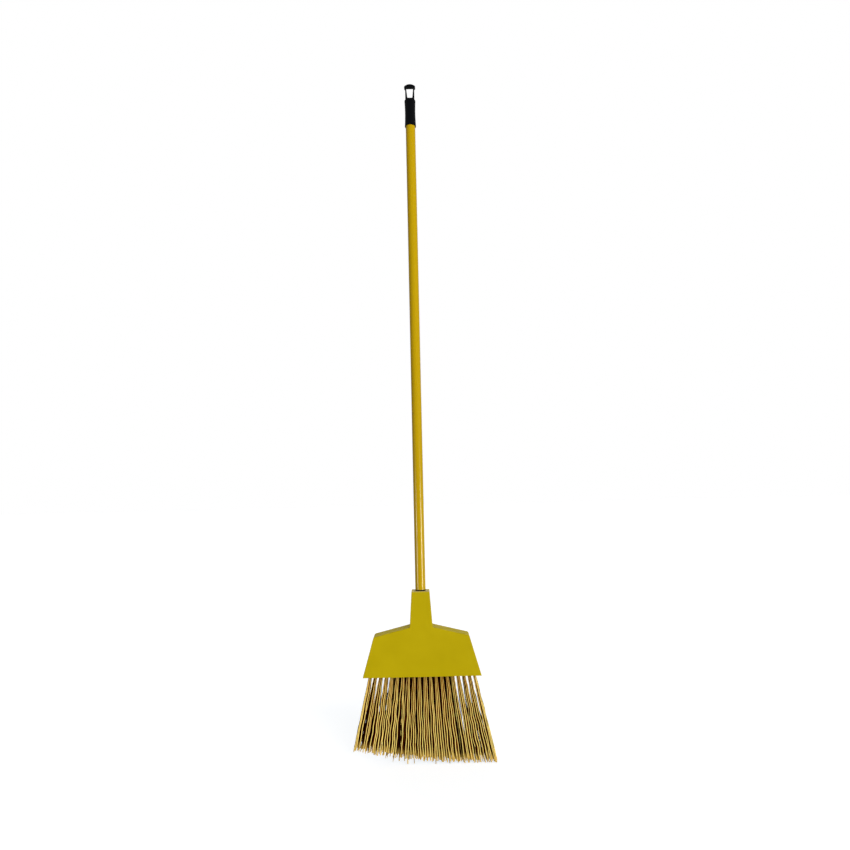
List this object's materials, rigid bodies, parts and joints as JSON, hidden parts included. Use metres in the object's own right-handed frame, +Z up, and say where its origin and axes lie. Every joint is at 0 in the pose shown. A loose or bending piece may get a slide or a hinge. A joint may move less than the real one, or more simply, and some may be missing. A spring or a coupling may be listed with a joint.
{
  "type": "angle broom",
  "caption": "Angle broom with a moulded flared head, rows of straw-like bristle tufts cut at a slant, and a screw-in tube handle ending in a hanger loop.",
  "frame": {"origin": "on the handle's axis, at the level of the lowest bristle tips", "axes": "+Z up along the handle, +X towards the long side of the bristles, -Y out of the head's front panel"},
  "size_m": [0.2801, 0.053, 1.397],
  "materials": {
    "head_plastic": "satin moulded",
    "block_plastic": "moulded",
    "straw_fibre": "dry fibre",
    "tube_steel": "drawn",
    "jacket_vinyl": "glossy skin",
    "black_plastic": "moulded",
    "zinc_steel": "zinc plated"
  },
  "bodies": {
    "head": {"head_shell": "head_plastic", "tuft_block": "block_plastic", "block_screws": "zinc_steel", "tuft_staples": "zinc_steel", "tuft_front_01": "straw_fibre", "tuft_front_02": "straw_fibre", "tuft_front_03": "straw_fibre", "tuft_front_04": "straw_fibre", "tuft_front_05": "straw_fibre", "tuft_front_06": "straw_fibre", "tuft_front_07": "straw_fibre", "tuft_front_08": "straw_fibre", "tuft_front_09": "straw_fibre", "tuft_front_10": "straw_fibre", "tuft_front_11": "straw_fibre", "tuft_front_12": "straw_fibre", "tuft_front_13": "straw_fibre", "tuft_front_14": "straw_fibre", "tuft_front_15": "straw_fibre", "tuft_front_16": "straw_fibre", "tuft_front_17": "straw_fibre", "tuft_front_18": "straw_fibre", "tuft_front_19": "straw_fibre", "tuft_front_20": "straw_fibre", "tuft_middle_01": "straw_fibre", "tuft_middle_02": "straw_fibre", "tuft_middle_03": "straw_fibre", "tuft_middle_04": "straw_fibre", "tuft_middle_05": "straw_fibre", "tuft_middle_06": "straw_fibre", "tuft_middle_07": "straw_fibre", "tuft_middle_08": "straw_fibre", "tuft_middle_09": "straw_fibre", "tuft_middle_10": "straw_fibre", "tuft_middle_11": "straw_fibre", "tuft_back_01": "straw_fibre", "tuft_back_02": "straw_fibre", "tuft_back_03": "straw_fibre", "tuft_back_04": "straw_fibre", "tuft_back_05": "straw_fibre", "tuft_back_06": "straw_fibre", "tuft_back_07": "straw_fibre", "tuft_back_08": "straw_fibre", "tuft_back_09": "straw_fibre", "tuft_back_10": "straw_fibre", "tuft_back_11": "straw_fibre", "tuft_back_12": "straw_fibre", "tuft_back_13": "straw_fibre", "tuft_back_14": "straw_fibre", "tuft_back_15": "straw_fibre", "tuft_back_16": "straw_fibre", "tuft_back_17": "straw_fibre", "tuft_back_18": "straw_fibre", "tuft_back_19": "straw_fibre", "tuft_back_20": "straw_fibre"},
    "handle_core": {"handle_tube": "tube_steel"},
    "handle": {"handle_jacket": "jacket_vinyl", "threaded_tip": "black_plastic", "hanger_cap": "black_plastic"}
  },
  "joints": [
    {"name": "handle_advance", "type": "slide", "parent": "head", "child": "handle_core", "axis": [0, 0, 1], "range_m": [0, 0.0254]},
    {"name": "handle_turn", "type": "hinge", "parent": "handle_core", "child": "handle", "pos_m": [0, 0, 0.3262], "axis": [0, 0, 1], "range_deg": [0, 1800]}
  ],
  "couplings": [
    {"joint": "handle_turn", "follows": "handle_advance", "rad_per_m": 1236.8}
  ]
}
